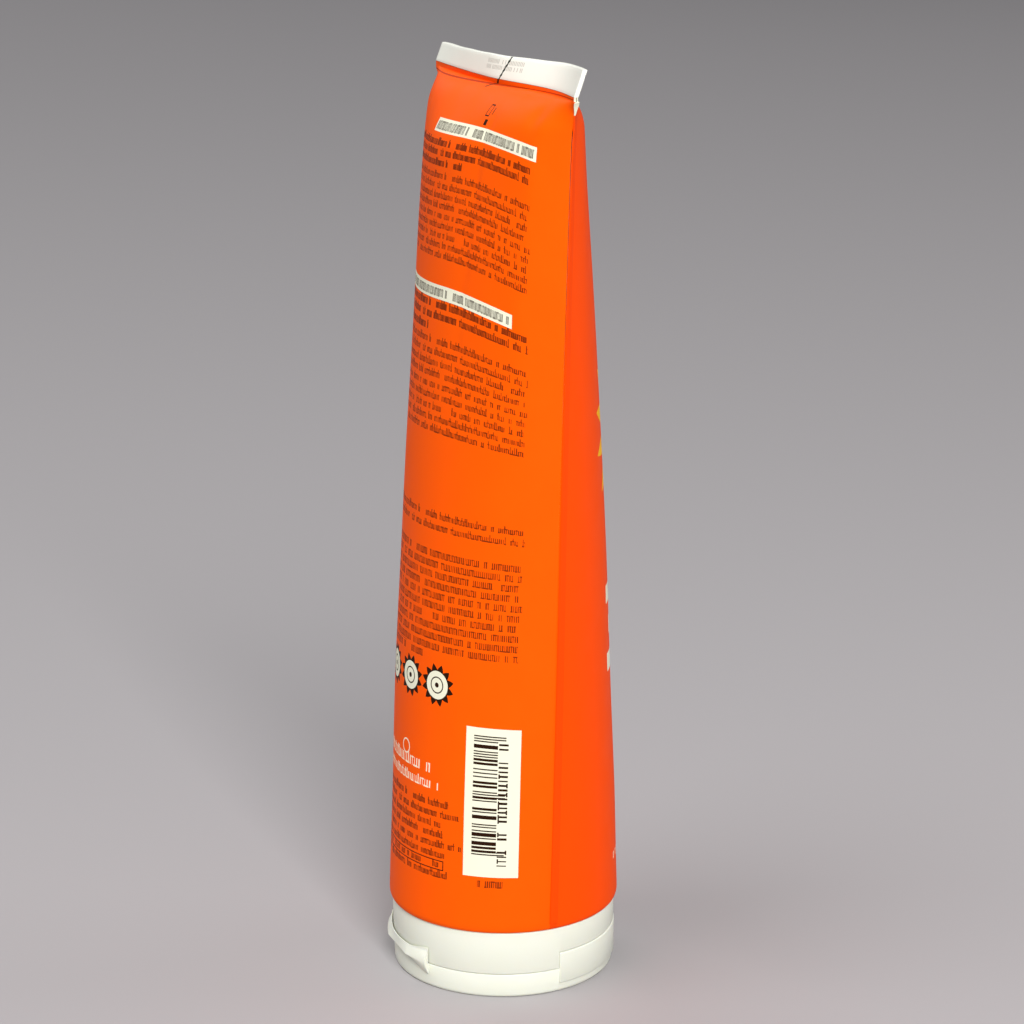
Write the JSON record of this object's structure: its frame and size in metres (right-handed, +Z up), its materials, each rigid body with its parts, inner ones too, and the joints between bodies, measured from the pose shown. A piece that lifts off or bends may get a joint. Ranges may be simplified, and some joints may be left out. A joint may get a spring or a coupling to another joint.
{
  "type": "squeeze tube with flip-top cap",
  "caption": "Crimp-ended squeeze tube for lotion that stands on its wide flip-top cap, with a hinged lid, a thumb tab and a sealing plug.",
  "frame": {"origin": "centre of the lid's flat end, on the tube's axis, where the tube stands", "axes": "+Z up along the tube towards the crimp, X along the crimp, +Y out of the printed back on the side of the thumb tab, -Y towards the hinge"},
  "size_m": [0.0786, 0.0505, 0.1966],
  "materials": {
    "printed_sleeve": "satin",
    "bare_sleeve": "satin",
    "head_plastic": "satin",
    "lotion": "creamy",
    "cap_plastic": "moulded satin gloss"
  },
  "bodies": {
    "tube": {"tube_sleeve": "printed_sleeve", "side_seam": "printed_sleeve", "crimp_seal": "bare_sleeve", "tube_shoulder": "head_plastic", "tube_neck": "head_plastic", "lotion_fill": "lotion", "cap_ring": "cap_plastic", "cap_deck": "cap_plastic", "cap_collar": "cap_plastic", "cap_ribs": "cap_plastic", "cap_spout": "cap_plastic", "hinge_web": "cap_plastic"},
    "lid": {"lid_disc": "cap_plastic", "lid_skirt": "cap_plastic", "lid_plug": "cap_plastic", "thumb_tab": "cap_plastic"}
  },
  "joints": [
    {"name": "lid_hinge", "type": "hinge", "parent": "tube", "child": "lid", "pos_m": [0, -0.0235, 0.00905], "axis": [-1, 0, 0], "range_deg": [0, 140], "deforming": ["hinge_web"]}
  ]
}
